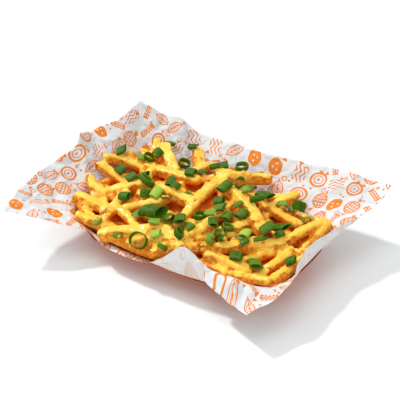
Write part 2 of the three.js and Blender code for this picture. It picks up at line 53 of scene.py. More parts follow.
class Shade:
    """A value that varies over a surface. Sums and products of shades add Math nodes to their paint."""

    def __init__(self, paint, socket):
        self.paint = paint
        self.socket = socket

    def math(self, operation, *others):
        return self.paint.node("Math", {"operation": operation}, dict(enumerate([self, *others])))

    def __add__(self, other):
        return self.math("ADD", other)

    def __radd__(self, other):
        return self.math("ADD", other)

    def __mul__(self, other):
        return self.math("MULTIPLY", other)

    def __rmul__(self, other):
        return self.math("MULTIPLY", other)

    def __sub__(self, other):
        return self.math("SUBTRACT", other)

    def __rsub__(self, other):
        return self.paint.node("Math", {"operation": "SUBTRACT"}, {0: other, 1: self})

    def __truediv__(self, other):
        return self.math("DIVIDE", other)

    def __abs__(self):
        return self.math("ABSOLUTE")

    def __lt__(self, other):
        return self.math("LESS_THAN", other)

    def __gt__(self, other):
        return self.math("GREATER_THAN", other)

    def step(self, low, high):
        """0 below low, 1 above high, and smooth between them."""
        inputs = {"Value": self, "From Min": low, "From Max": high}
        return self.paint.node("MapRange", {"interpolation_type": "SMOOTHSTEP"}, inputs)


class Paint:
    """A material being mixed. Every node comes from its node method, which gives back one output of it."""

    def __init__(self, name):
        self.material = bpy.data.materials.new(name)
        self.material.use_nodes = True
        self.tree = self.material.node_tree
        self.shader = self.tree.nodes["Principled BSDF"]

    def feed(self, socket, value):
        if isinstance(value, Shade):
            self.tree.links.new(value.socket, socket)
        else:
            socket.default_value = value

    def node(self, kind, settings=None, inputs=None, output=0):
        made = self.tree.nodes.new("ShaderNode" + kind)
        for name, value in (settings or {}).items():
            setattr(made, name, value)
        for name, value in (inputs or {}).items():
            self.feed(made.inputs[name], value)
        return Shade(self, made.outputs[output])

    def mix(self, share, first, second):
        """A colour between two colours."""
        return self.node("Mix", {"data_type": "RGBA"}, {0: share, 6: first, 7: second}, 2)

    def place(self):
        """Object coordinates, in metres."""
        return self.node("TexCoord", output="Object")

    def read(self, name):
        """A number stored on the piece's points."""
        return self.node("Attribute", {"attribute_name": name}, output="Fac")

    def cloud(self, size, detail=2.0, at=None):
        """Soft noise from 0 to 1 with patches of a given size in metres."""
        inputs = {"Vector": at or self.place(), "Scale": 1 / size, "Detail": detail}
        return self.node("TexNoise", {}, inputs)

    def bump(self, height, depth, under=None):
        """A normal from a height of 0 to 1 that stands for a depth in metres."""
        inputs = {"Height": height, "Distance": depth, "Strength": 1.0}
        if under:
            inputs["Normal"] = under
        return self.node("Bump", {}, inputs)

    def split(self, kind, value):
        """The three parts of a colour or of a place."""
        parts = self.node("Separate" + kind, {}, {0: value})
        return [Shade(self, output) for output in parts.socket.node.outputs]

    def finish(self, looks):
        for name, value in looks.items():
            self.feed(self.shader.inputs[name], value)
        return self.material


def srgb(red, green, blue):
    """A colour of 0 to 255 as the eye reads it, in the linear form that materials take."""
    parts = [c / 255 for c in (red, green, blue)]
    return tuple(c / 12.92 if c < 0.04045 else ((c + 0.055) / 1.055) ** 2.4 for c in parts) + (1.0,)


def piece_of(name, mesh, materials):
    """Turns a bmesh into a smooth object of the scene."""
    data = bpy.data.meshes.new(name)
    mesh.to_mesh(data)
    mesh.free()
    for material in materials:
        data.materials.append(material)
    data.shade_smooth()
    made = bpy.data.objects.new(name, data)
    scene.collection.objects.link(made)
    return made


def direction(azimuth, elevation):
    """A direction by its angles in degrees: from +X towards +Y in plan, and up from level."""
    azimuth, elevation = math.radians(azimuth), math.radians(elevation)
    across = math.cos(elevation)
    return Vector((across * math.cos(azimuth), across * math.sin(azimuth), math.sin(elevation)))


def table_top():
    reach = 6  # metres each way
    mesh = bmesh.new()
    bmesh.ops.create_grid(mesh, x_segments=1, y_segments=1, size=reach)
    paint = Paint("table white")
    speckle = paint.cloud(4 * MM)
    colour = paint.mix(speckle, srgb(230, 235, 236), srgb(233, 238, 239))
    material = paint.finish({"Base Color": colour, "Roughness": 0.9, "Specular IOR Level": 0.1})
    piece_of("table_top", mesh, [material])


def lamp(name, azimuth, elevation, strength, spread):
    """Light from far off, by its direction from the object and how wide it spreads, in degrees."""
    light = bpy.data.lights.new(name, "SUN")
    light.energy = strength
    light.angle = math.radians(spread)
    made = bpy.data.objects.new(name, light)
    made.rotation_euler = direction(azimuth, elevation).to_track_quat("Z", "Y").to_euler()
    scene.collection.objects.link(made)


def room_light(strength):
    """Even light from all round."""
    world = bpy.data.worlds.new("room")
    world.use_nodes = True
    background = world.node_tree.nodes["Background"]
    background.inputs["Color"].default_value = srgb(255, 252, 252)
    background.inputs["Strength"].default_value = strength
    scene.world = world


def camera():
    """Aims a little right of and above a point 30 mm over the floor's centre."""
    turned, elevation = 33, 33.5
    distance, seen_width, sensor, out_of_sight = 1.3, 0.34, 36, 20
    right = direction(turned, 0)
    back = direction(turned - 90, elevation)
    up = back.cross(right)
    aim = (Vector((0, 0, 30)) + right * 1.7 + up * 17.3) * MM
    lens = bpy.data.cameras.new("camera")
    lens.sensor_width = sensor
    lens.lens = sensor * distance / seen_width
    lens.clip_end = out_of_sight
    made = bpy.data.objects.new("camera", lens)
    made.location = aim + back * distance
    made.rotation_euler = back.to_track_quat("Z", "Y").to_euler()
    scene.collection.objects.link(made)
    scene.camera = made


table_top()
lamp("left lamp", 172, 47, 1.9, 5)
lamp("high lamp", 215, 80, 0.5, 40)
room_light(0.86)
camera()

# The tray: one blank of orange card, creased and folded up to a flat floor and four walls that the load
# bows outwards. The card is dyed right through, and flaps are glued over the ends.
# Sizes from here on are in millimetres, and MM turns them into the scene's metres.

HALF_LENGTH, HALF_WIDTH, CORNER, WALL = 90, 37, 9, 30
CARD = 0.6
CORNER_RISE = 62
SIDE_RISE = {True: (58, 18), False: (62, 50)}  # degrees at foot and rim; True is a long side
FLOOR_RINGS = (30, 12, 1.2, 0.4)  # how far in from the floor's edge
FOOT_RINGS = (0.4, 1.2)  # how far up the wall from the crease
WALL_ROWS, TRAY_STEPS = 16, 240


def blend(a, b, share):
    """A number a share of the way from a to b."""
    return a + (b - a) * share


def outline(turn):
    """The floor's edge after a number of sides walked from the front left corner: its point, its outward
    direction, the share of the side that is walked, and whether the side is a long one."""
    side = int(turn) % 4
    share = turn - int(turn)
    long = side % 2 == 0
    facing = math.radians((-90, 0, 90, 180)[side])
    half, reach = (HALF_LENGTH, HALF_WIDTH) if long else (HALF_WIDTH, HALF_LENGTH)
    arc, straight = CORNER * math.pi / 4, 2 * (half - CORNER)
    walked = share * (2 * arc + straight)
    run = min(max(walked - arc, 0), straight) - straight / 2
    bend = (min(walked, arc) - arc + max(walked - arc - straight, 0)) / CORNER
    outward = Vector((math.cos(facing + bend), math.sin(facing + bend), 0))
    middle = Vector((math.cos(facing), math.sin(facing), 0)) * (reach - CORNER)
    point = middle + Vector((-math.sin(facing), math.cos(facing), 0)) * run + outward * CORNER
    return point, outward, share, long


def wall_point(turn, slant, inset):
    """A point on the loaded wall and the direction in which the wall goes on."""
    point, outward, share, long = outline(turn)
    swell = math.sin(math.pi * share)
    bow = swell * (2 - swell)
    foot, rim = (blend(CORNER_RISE, rise, bow) for rise in SIDE_RISE[long])
    steps = 12  # straight parts that the curve of the wall is added up from
    out = up = 0
    for i in range(steps):
        rise = math.radians(blend(foot, rim, (i + 0.5) / steps * slant / WALL))
        out += math.cos(rise) * slant / steps
        up += math.sin(rise) * slant / steps
    rise = math.radians(blend(foot, rim, slant / WALL))
    at = point + outward * (out - math.sin(rise) * inset)
    at.z = up + math.cos(rise) * inset
    return at, outward * math.cos(rise) + Vector((0, 0, math.sin(rise)))


def floor_point(turn, inset, height):
    """A point over the floor, set in from its edge."""
    point, outward, _, _ = outline(turn)
    return point - outward * inset + Vector((0, 0, height))


def spread_turn(share):
    """Turns 0 to 1 round the tray into sides walked, closer together at the corners."""
    crowding = 0.6
    sides = share * 4
    side = math.floor(sides + 1e-6)
    t = sides - side
    return (side + t - crowding * math.sin(2 * math.pi * t) / (2 * math.pi)) % 4


def wrapped(steps, rows, place):
    """A closed band round the tray: a grid whose two ends are joined, with place(turn, row) for each point.
    The hole that its first row leaves in the middle of the floor is closed by one face."""
    mesh = bmesh.new()
    bmesh.ops.create_grid(mesh, x_segments=steps, y_segments=rows - 1, size=1)
    for v in mesh.verts:
        v.co = place(spread_turn((v.co.x + 1) / 2), round((v.co.y + 1) / 2 * (rows - 1))) * MM
    bmesh.ops.remove_doubles(mesh, verts=mesh.verts, dist=1e-7)
    middle = [e for e in mesh.edges if e.is_boundary and max(v.co.z for v in e.verts) < 2 * MM]
    bmesh.ops.contextual_create(mesh, geom=middle)
    bmesh.ops.recalc_face_normals(mesh, faces=mesh.faces)
    if min(mesh.faces, key=lambda f: f.calc_center_median().z).normal.z < 0:
        bmesh.ops.reverse_faces(mesh, faces=mesh.faces)
    return mesh


def tray_card():
    """Orange card: fine fibre, faint scuffs, and pale wear where it is folded."""
    paint = Paint("orange card")
    fibre = paint.cloud(0.6 * MM, 4)
    mottle = paint.cloud(9 * MM)
    scuff = paint.cloud(2.2 * MM, 5).step(0.62, 0.72)
    colour = paint.mix(mottle.step(0.3, 0.7), srgb(196, 86, 12), srgb(208, 96, 18))
    colour = paint.mix(paint.read("crease") * 0.55, colour, srgb(238, 150, 90))
    colour = paint.mix(scuff * 0.12, colour, srgb(240, 170, 120))
    normal = paint.bump(fibre, 0.03 * MM)
    return paint.finish({"Base Color": colour, "Roughness": 0.5 + fibre * 0.12, "Normal": normal})


def card_core():
    """The cut edge of the card: pulp dyed right through."""
    paint = Paint("card core")
    pulp = paint.cloud(0.5 * MM, 4)
    colour = paint.mix(pulp, srgb(232, 122, 36), srgb(214, 104, 26))
    return paint.finish({"Base Color": colour, "Roughness": 0.85, "Normal": paint.bump(pulp, 0.05 * MM)})


def board_tray():
    rows = [("floor", distance) for distance in FLOOR_RINGS]
    rows += [("wall", distance) for distance in FOOT_RINGS]
    rows += [("wall", WALL * i / WALL_ROWS) for i in range(1, WALL_ROWS + 1)]
    flap, score, ripple = 0.22, 0.35, 0.35  # a glued flap stands out, a score line sinks in, the rim waves
    flap_reach, flap_taper, flap_edge = 0.3, 0.1, 0.02  # in shares of a short side
    slack = 0.05  # that the card is thinner than its solid

    def card_point(turn, row):
        kind, distance = rows[row]
        if kind == "floor":
            return floor_point(turn, distance, 0)
        _, _, share, long = outline(turn)
        corner = min(share, 1 - share)
        score_at, score_width = (0.035, 0.006) if long else (0.07, 0.012)
        line = math.exp(-(((corner - score_at) / score_width) ** 2))
        on_end = 0 if long else (flap_reach - corner - flap_taper * distance / WALL) / flap_edge
        low = min(distance / 2, 1)
        at, _ = wall_point(turn, distance, score * line * low - flap * min(max(on_end, 0), 1) * low)
        waved = noise.noise(Vector((turn * 5, distance * 0.05, 3)))
        return at + Vector((0, 0, ripple * waved * (distance / WALL) ** 2))

    mesh = wrapped(TRAY_STEPS, len(rows), card_point)
    crease = mesh.verts.layers.float.new("crease")
    for v in mesh.verts:
        height = v.co.z / MM
        folded = v.calc_shell_factor() > 1.02
        v[crease] = math.exp(-height) if folded or height > 0.01 else 0.0
    tray = piece_of("board_tray_folded", mesh, [tray_card(), card_core()])
    wall = tray.modifiers.new("card", "SOLIDIFY")
    wall.thickness = (CARD - slack) * MM
    wall.offset = 1
    wall.use_even_offset = True
    wall.material_offset_rim = 1
    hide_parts("board_tray")
    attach(tray, "root")


board_tray()

# The liner: one wide sheet of thin greaseproof paper pressed down into the tray. It follows the walls, turns
# out over the rim and stands free with soft folds. It is printed in one orange ink that shows faintly behind.

PAPER_INSET = CARD + 0.55  # from the card's outside to the sheet's food side
PAPER_THICKNESS = 0.16
PAPER_STEPS = 400
SHEET_LENGTH = 305
PRINT_PITCH, PRINT_SCALE = 16, 1.35
TIPS = {
    "front left": (-135, -94, 43),
    "front right": (103, -89, 29),
    "back right": (126, 110, 49),
    "back left": (-119, 87, 69),
}
# The sheet's front, right, back and left edge from tip to tip: the share of the side, then x, y and z.
FREE_EDGE = [
    [
        (0, *TIPS["front left"]),
        (0.02, -106, -80, 38),
        (0.04, -82, -64, 29),
        (0.09, -72, -58, 25),
        (0.14, -63, -61, 23),
        (0.19, -54, -64, 21),
        (0.34, -28, -66, 20),
        (0.46, -6, -66, 23),
        (0.55, 10, -65, 36),
        (0.62, 22, -61, 47),
        (0.68, 33, -60, 46),
        (0.75, 45, -62, 36),
        (0.8, 52, -69, 28),
        (0.89, 74, -78, 28),
        (1, *TIPS["front right"]),
    ],
    [
        (0, *TIPS["front right"]),
        (0.15, 112, -62, 31),
        (0.27, 115, -41, 35),
        (0.4, 109, -19, 41),
        (0.52, 107, 4, 43),
        (0.64, 109, 28, 41),
        (0.78, 118, 58, 42),
        (0.9, 126, 86, 45),
        (1, *TIPS["back right"]),
    ],
    [
        (0, *TIPS["back right"]),
        (0.17, 91, 107, 51),
        (0.33, 60, 105, 51),
        (0.5, 17, 98, 49),
        (0.66, -28, 98, 48),
        (0.77, -62, 98, 47),
        (0.83, -75, 99, 50),
        (0.87, -84, 95, 56),
        (0.93, -100, 90, 60),
        (1, *TIPS["back left"]),
    ],
    [
        (0, *TIPS["back left"]),
        (0.13, -125, 62, 60),
        (0.26, -136, 40, 57),
        (0.34, -140, 24, 57),
        (0.4, -139, 15, 51),
        (0.55, -142, -10, 48),
        (0.82, -143, -61, 45),
        (1, *TIPS["front left"]),
    ],
]


def hermite(a, leave, b, arrive, t):
    """A point on the curve from a to b that leaves and arrives in given directions."""
    t2, t3 = t * t, t * t * t
    return a * (2 * t3 - 3 * t2 + 1) + leave * (t3 - 2 * t2 + t) + b * (3 * t2 - 2 * t3) + arrive * (t3 - t2)


def edge_point(side, share):
    """A point on the sheet's edge, on a smooth curve through the points of FREE_EDGE."""
    knots = FREE_EDGE[side]
    i = 0
    while i + 2 < len(knots) and share > knots[i + 1][0]:
        i += 1
    (a, *pa), (b, *pb) = knots[i], knots[i + 1]
    (before, *p0), (after, *p3) = knots[max(i - 1, 0)], knots[min(i + 2, len(knots) - 1)]
    pa, pb, p0, p3 = Vector(pa), Vector(pb), Vector(p0), Vector(p3)
    width = b - a
    leave, arrive = (pb - p0) / (b - before) * width, (p3 - pa) / (after - a) * width
    return hermite(pa, leave, pb, arrive, min(max((share - a) / width, 0), 1))


def buckle(point, lift):
    """The height of the soft buckles that the stiff sheet takes up as it leaves the rim."""
    wave = math.sin(point.x * 0.11 + point.y * 0.05) + math.sin(point.y * 0.13 - point.x * 0.07 + 1.7)
    wave += 0.6 * math.sin(point.x * 0.21 + point.y * 0.19 + 0.6)
    return 0.75 * lift * wave


RIDGE_AT, RIDGE_SPREAD, RIDGE_HEIGHT = 0.84, 0.15, 14  # place and half width in sides walked


def ridge(turn, reach):
    """Beside the tall flap at the front the sheet is pushed up into a ridge between the rim and its edge."""
    off = abs(turn - RIDGE_AT) / RIDGE_SPREAD
    return RIDGE_HEIGHT * max(0, 1 - off ** 4) * math.sin(math.pi * min(reach, 1)) ** 1.5


def free_point(turn, reach):
    """A point beyond the rim, from reach 0 at the rim to 1 at the free edge."""
    _, _, share, _ = outline(turn)
    at, onward = wall_point(turn, WALL, PAPER_INSET)
    end = edge_point(int(turn) % 4, share)
    span = (end - at).length
    stiffness = 16
    point = hermite(at, onward * min(0.9 * span, stiffness), end, (end - at) * 0.9, reach)
    point.z += buckle(point, math.sin(math.pi * min(reach, 0.75)) * min(1, span / 35))
    point.z += ridge(turn, reach)
    return point


# Folds across the free part: [sides walked at the rim, the same at the edge, half width, height].
PLEATS = [
    [3.52, 3.36, 0.055, 3.2],
    [3.30, 3.28, 0.04, -1.6],
    [2.80, 2.85, 0.05, 2.6],
    [2.30, 2.36, 0.05, -1.8],
    [1.30, 1.22, 0.07, 2.2],
    [1.72, 1.80, 0.06, -1.5],
    [0.90, 0.95, 0.02, 1.2],
    [3.93, 3.90, 0.05, -1.4],
]


def pleats(turn, reach):
    """The height of the folds across the free part."""
    height = 0
    for at_rim, at_edge, width, size in PLEATS:
        off = abs(turn - blend(at_rim, at_edge, reach)) / width
        height += size * max(0, 1 - off) ** 1.3
    return height * math.sin(math.pi * min(reach, 0.8) / 1.6)


def crumple(point, size):
    """Sharp small ridges of creased paper, about -1 to 1."""
    at = point / size
    return 1 - 2.2 * abs(noise.noise(at)) - 1.1 * abs(noise.noise(at * 2.3 + Vector((7, 3, 1))))


def paper_surface():
    wall_rows, free_rows = 12, 26
    rows = [("floor", 14), ("floor", PAPER_INSET + 0.5)]
    rows += [("wall", WALL * i / wall_rows) for i in range(wall_rows + 1)]
    rows += [("free", (i / free_rows) ** 1.1) for i in range(1, free_rows + 1)]

    def paper_point(turn, row):
        kind, distance = rows[row]
        if kind == "floor":
            return floor_point(turn, distance, PAPER_INSET)
        if kind == "wall":
            point, _ = wall_point(turn, distance, PAPER_INSET)
            return point + Vector((0, 0, 0.1 * distance / WALL * crumple(point, 11)))
        point = free_point(turn, distance)
        _, _, share, _ = outline(turn)
        rim, _ = wall_point(turn, WALL, PAPER_INSET)
        span = (edge_point(int(turn) % 4, share) - rim).length
        room = min(1, distance * span / 12)
        rough = crumple(point, 24) * 0.75 + crumple(point + Vector((50, 0, 0)), 9) * 0.28
        return point + Vector((0, 0, room * (rough + pleats(turn, distance) * min(1, span / 40))))

    return wrapped(PAPER_STEPS, len(rows), paper_point)


def flat_places(mesh):
    """Where each point was before the sheet was pressed in: its plan place, pushed out by what it climbs."""
    still_x, still_y = HALF_LENGTH - 20, HALF_WIDTH - 20  # the half sides of the part that stayed flat
    lost = 0.62  # plan length taken up by each millimetre of climb
    flat = []
    for v in mesh.verts:
        p = v.co / MM
        side = Vector((p.x - max(-still_x, min(still_x, p.x)), p.y - max(-still_y, min(still_y, p.y))))
        outward = side.normalized() if side.length > 1e-6 else side * 0
        flat.append(Vector((p.x, p.y)) + outward * max(0, p.z - 1) * lost)
    return flat


def print_cell(paint, u, v, turned):
    """One layer of the print on a brick layout of cells: the cell's random number and the place in it."""
    pitch = PRINT_PITCH
    row = (v / pitch).math("FLOOR")
    along = u / pitch + row.math("MODULO", 2) * 0.5 + turned
    column = along.math("FLOOR")
    cell = paint.node("CombineXYZ", {}, {"X": column, "Y": row + turned * 13})
    chances = paint.node("TexWhiteNoise", {"noise_dimensions": "2D"}, {"Vector": cell}, "Color")
    pick, spin, nudge = paint.split("Color", chances)
    shift = 0.18 * pitch
    x = (along - column - 0.5) * pitch + (nudge - 0.5) * shift
    y = (v / pitch - row - 0.5) * pitch + (spin - 0.5) * shift
    cosine, sine = (spin * 2 * math.pi).math("COSINE"), (spin * 2 * math.pi).math("SINE")
    return pick, x * cosine + y * sine, y * cosine - x * sine


def away(x, y):
    """Distance from the place where x and y are 0."""
    return (x * x + y * y).math("SQRT")


def stripes(value, pitch, half_width):
    """1 on bands half a pitch from each multiple of the pitch, and 0 between them."""
    return abs(value.math("MODULO", pitch) - pitch / 2) < half_width


def picked(chance, motifs):
    """Ink of the one motif that a cell's random number falls on."""
    share = chance * len(motifs)
    return sum(share.math("COMPARE", i + 0.5, 0.5) * motif for i, motif in enumerate(motifs))


def motif_ink(paint, u, v):
    """Ink of the large motifs: potato, onion ring, leaf, waves, waffle slice and crinkled fry."""
    pick, x, y = print_cell(paint, u, v, 0)
    across, up, radius = abs(x), abs(y), away(x, y)

    oval = (x * x / 49 + y * y / 24 + (x * 0.9).math("SINE") * 0.1).math("SQRT")
    potato = (oval < 1) * (away(across - 2.4, y - 0.9) > 0.75) * (away(x - 0.3, y + 1.9) > 0.7)

    ring = (abs(radius - 5.6) < 0.85) + (abs(radius - 3.2) < 0.4) + (radius < 0.9)

    blade = 3.6 - x * x * 0.072
    leaf = (abs(up - blade) < 0.5) * (across < 7.4)
    leaf = leaf + (up < 0.35) * (across < 8.4)
    leaf = leaf + stripes(across * 0.5 + up * 0.7, 1.4, 0.22) * (up < blade - 0.9) * (across < 6)

    waved = y + (x * 0.8).math("SINE") + 9
    waves = stripes(waved, 2.9, 0.5) * (across < 6.6) * (up < 4.6)

    bars = stripes(x + 13, 2.6, 0.42) + stripes(y + 13, 2.6, 0.42)
    waffle = (bars > 0.5) * (radius < 5.6) + (abs(radius - 6) < 0.55)

    edge = 2.3 + (x * 2.1).math("SINE") * 0.45
    crinkle = (up < edge) * (across < 7.2) * ((abs(up - 0.95) > 0.3) + (across > 5.6))

    return picked(pick, (potato, ring, leaf, waves, waffle, crinkle))


def mark_ink(paint, u, v):
    """Ink of the small marks between them: dots, crosses, little rings and triangles."""
    between = PRINT_PITCH / 2
    ink = 0
    for shift, turned in ((between, 0), (0, 0.25)):
        pick, x, y = print_cell(paint, u + shift, v + between, turned)
        wide, high, radius = abs(x), abs(y), away(x, y)
        dot = radius < 0.95
        cross = (wide < 0.38) * (high < 1.9) + (high < 0.38) * (wide < 1.9)
        loop = abs(radius - 1.6) < 0.38
        wedge = (wide < 1.5 - y * 0.8) * (y > -1)
        ink = picked(pick, (dot, cross, loop, wedge)) + ink
    return ink


def folds(paint, warp, scale):
    """A height from straight folds that meet at angles, scale of them to a metre."""
    return paint.node(
        "TexVoronoi", {"feature": "DISTANCE_TO_EDGE"}, {"Vector": warp, "Scale": scale}, "Distance"
    )


def paper_face(name, strength, white, shade):
    """White greaseproof paper with its print at a given strength, faint creases and grease near the food."""
    paint = Paint(name)
    u, v, _ = paint.split("XYZ", paint.node("UVMap", {"uv_map": "sheet"}))
    u, v = ((along - 0.5) * (2 * SHEET_LENGTH / PRINT_SCALE) for along in (u, v))
    worn = paint.cloud(1.3 * MM, 3).step(0.30, 0.42)
    patchy = 0.8 + paint.cloud(7 * MM) * 0.3
    ink = (motif_ink(paint, u, v) + mark_ink(paint, u, v)).math("MINIMUM", 1)
    ink = (ink * (0.75 + worn * 0.25) * patchy * strength).math("MINIMUM", 1)
    grain = paint.cloud(0.9 * MM, 4)
    cloudy = paint.cloud(16 * MM)
    colour = paint.mix(cloudy.step(0.3, 0.7), white, shade)
    soaked = (paint.read("grease") + (paint.cloud(6 * MM, 3) - 0.5) * 0.8).step(0.55, 0.8)
    colour = paint.mix(soaked * 0.38, colour, srgb(236, 196, 138))
    colour = paint.mix(ink, colour, srgb(220, 124, 20))
    stir = paint.node("TexNoise", {}, {"Vector": paint.place(), "Scale": 60}, "Color")
    stirred = {0: stir, 1: (20 * MM, 20 * MM, 20 * MM), 2: paint.place()}
    warp = paint.node("VectorMath", {"operation": "MULTIPLY_ADD"}, stirred)
    normal = paint.bump(folds(paint, warp, 24), 7 * MM)
    normal = paint.bump(folds(paint, warp, 70), 1.2 * MM, normal)
    normal = paint.bump(grain, 0.05 * MM, normal)
    looks = {
        "Base Color": colour,
        "Roughness": 0.62 - soaked * 0.25,
        "Specular IOR Level": 0.25,
        "Normal": normal,
    }
    return paint.finish(looks)


def paper_liner():
    mesh = paper_surface()
    mesh.verts.index_update()
    flat = flat_places(mesh)
    places = mesh.loops.layers.uv.new("sheet")
    for face in mesh.faces:
        for loop in face.loops:
            at = flat[loop.vert.index]
            loop[places].uv = (at.x / (2 * SHEET_LENGTH) + 0.5, at.y / (2 * SHEET_LENGTH) + 0.5)
    food = BVHTree.FromObject(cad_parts["cheese_fries"], bpy.context.evaluated_depsgraph_get())
    grease = mesh.verts.layers.float.new("grease")
    spread = 12 * MM
    for v in mesh.verts:
        near = food.find_nearest(v.co, spread)[3]
        v[grease] = 0 if near is None else 1 - near / spread
    face = paper_face("printed paper", 1.12, srgb(216, 220, 221), srgb(204, 208, 210))
    back = paper_face("paper back", 0.3, srgb(226, 225, 222), srgb(216, 214, 211))
    liner = piece_of("paper_liner_sheet", mesh, [face, back])
    sheet = liner.modifiers.new("paper", "SOLIDIFY")
    sheet.thickness = PAPER_THICKNESS * MM
    sheet.offset = -1
    sheet.material_offset = 1
    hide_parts("paper_liner")
    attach(liner, "root")
    return liner


liner = paper_liner()

# The heap: potato cut into sticks about 9 mm thick, fried in a thin batter, and bound by hot cheese sauce
# that coats whatever faces up and runs down between them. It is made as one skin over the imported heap.

SEED = 411
# The fries that show on top: [x, y, z, heading, rise, length, width, bend], with the place of the middle, the
# heading in plan and the rise above level in degrees, and how far the middle bows out from the ends.
TOP_FRIES = [
    [71, -12, 27, 58, 0, 42, 8, 0.3],
    [-38, -53, 28, 24, 5, 42, 7.5, -0.1],
    [-85, 35, 35, 12, -13, 42, 8, 1.0],
    [-98, -16, 33, -43, -11, 42, 8, 0.0],
    [-94, 11, 35, -7, -14, 43, 8, 2.4],
    [-99, 35, 37, 45, -17, 42, 9, 0.6],
    [-82, 37, 34, -58, -17, 43, 8, 2.0],
    [-91, 42, 31, -8, -39, 32, 7.5, -0.2],
    [-64, 53, 41, -40, -9, 42, 10.5, -1.8],
    [-83, 56, 39, -71, -31, 31, 6, -2.0],
    [-39, 63, 36, -52, -13, 43, 10, -1.5],
    [-49, 34, 41, -6, 9, 62, 9, -0.1],
    [-34, 53, 39, 85, -8, 42, 7.5, 2.8],
    [49, 51, 35, 71, 1, 42, 9, -2.0],
    [33, 49, 38, 45, -11, 56, 8, -3.4],
    [7, 62, 41, 37, -6, 51, 9, -2.3],
    [-85, -33, 33, -1, -4, 42, 10.5, 1.6],
    [-90, -16, 32, -44, 2, 42, 7.5, 1.0],
    [-81, -43, 29, -24, -6, 42, 7.5, -2.7],
    [-72, -3, 38, 37, 13, 42, 10, 0.1],
    [-67, -28, 34, 88, 16, 41, 9, -0.2],
    [-50, -35, 34, -24, -2, 42, 7.5, 2.7],
    [-41, -17, 41, 37, 11, 41, 8, -1.6],
    [-20, -27, 37, 0, 1, 42, 9, -0.3],
    [54, -38, 28, 10, -9, 42, 10, 1.2],
    [15, -5, 42, 69, 6, 42, 8, 1.4],
    [35, -9, 38, 59, 4, 42, 8, 1.3],
    [17, -9, 41, 56, 3, 42, 8, 2.5],
    [-3, -5, 44, -84, -8, 43, 9, -0.1],
    [56, 40, 35, -1, -14, 52, 8, -3.1],
    [-13, -48, 32, 30, 13, 45, 10, 0.4],
    [6, -48, 32, 46, 10, 41, 8, 0.3],
    [-32, -47, 33, 22, 10, 64, 10, 2.1],
    [-23, 1, 46, -8, 1, 42, 10, -2.1],
    [14, -34, 37, 69, 16, 51, 10, -0.4],
    [-8, 36, 43, -81, 8, 69, 9, 3.0],
    [35, 19, 44, -30, -8, 64, 11.5, 4.1],
    [55, -15, 33, 42, -2, 78, 10, -0.9],
    [87, 25, 34, 70, 4, 56, 8, 2.4],
    [86, -16, 25, 74, 6, 52, 9, 2.5],
]
BROWNED_FRIES = {3, 4, 10, 13, 15, 37}  # the rows of the ones whose blunt ends are fried dark
FILL_PITCH = 11
FILL_ROWS, FILL_COLUMNS = range(-6, 8), range(-10, 11)
FILL_REACH = 3.8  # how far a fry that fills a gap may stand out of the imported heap
SAUCE_DROPS = 200
SAUCE_X, SAUCE_Y = (-112, 100), (-66, 84)
VOXEL = 1.1
MOST_TRIANGLES = 190000
DOWN = Vector((0, 0, -1))


def top_and_bottom(tree, x, y):
    """The heap's highest and lowest point at a place in plan and the top's normal; None off the heap."""
    top, normal, _, _ = tree.ray_cast(Vector((x, y, 200)) * MM, DOWN)
    bottom, _, _, _ = tree.ray_cast(Vector((x, y, -1000)) * MM, -DOWN)
    return top, bottom, normal


def heights_along(tree, x, y, heading, length):
    """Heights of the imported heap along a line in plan: [distance, top, bottom], or None off the heap."""
    parts = 8
    found = []
    for i in range(parts + 1):
        s = (i / parts - 0.5) * length * 0.86
        top, bottom, _ = top_and_bottom(tree, x + math.cos(heading) * s, y + math.sin(heading) * s)
        found.append([s, top.z / MM, bottom.z / MM] if top and bottom else None)
    return found


def stick_template():
    """A cut stick of size 1 each way: a block with bevelled long edges and steps along its length."""
    mesh = bmesh.new()
    bmesh.ops.create_cube(mesh, size=1)

    def long_edges():
        return [e for e in mesh.edges if abs(e.verts[0].co.x - e.verts[1].co.x) > 0.5]

    bmesh.ops.bevel(
        mesh, geom=long_edges(), offset=0.2, affect="EDGES", segments=2, profile=0.5, material=-1
    )
    bmesh.ops.subdivide_edges(mesh, edges=long_edges(), cuts=13, use_grid_fill=True)
    bmesh.ops.triangulate(mesh, faces=mesh.faces)
    data = bpy.data.meshes.new("stick")
    mesh.to_mesh(data)
    mesh.free()
    return data


def lay_stick(heap, stick, fry, browned, draw):
    """Adds one fry to the heap's mesh: bent, twisted, uneven in girth, with ragged ends that taper."""
    taper_from, brown_from = 0.88, 0.72
    x, y, z, heading, rise, length, width, bend = fry
    rolled, sag = draw.uniform(-0.35, 0.35), draw.uniform(-0.02, 0.03) * length
    seed = Vector((draw.uniform(0, 90), draw.uniform(0, 90), 0))
    place = Matrix.Translation((x, y, z)) @ Matrix.Rotation(math.radians(heading), 4, "Z")
    place = place @ Matrix.Rotation(-math.radians(rise), 4, "Y")
    copy = bmesh.new()
    copy.from_mesh(stick)
    mark = copy.verts.layers.float.new("crust")
    copy.verts.layers.float.new("poured")
    for v in copy.verts:
        t = v.co.x * 2  # from -1 at one end to 1 at the other
        girth = width * (1 + 0.16 * noise.noise(seed + Vector((t * 3, 0, 0))))
        girth *= 0.94 - 0.2 * max(0, abs(t) - taper_from) / (1 - taper_from)
        turned = Matrix.Rotation(rolled + 0.25 * t, 2) @ Vector((v.co.y, v.co.z))
        end = length / 2 * t * (1 + 0.05 * noise.noise(seed + Vector((0, v.co.y * 4, v.co.z * 4))))
        bow = 0.5 - t * t
        at = Vector((end, turned.x * girth + bend * bow, turned.y * girth * 0.95 + sag * bow))
        v[mark] = browned * max(0, abs(t) - brown_from) / (1 - brown_from)
        v.co = place @ at * MM
    joined = bpy.data.meshes.new("fry")
    copy.to_mesh(joined)
    copy.free()
    heap.from_mesh(joined)
    bpy.data.meshes.remove(joined)


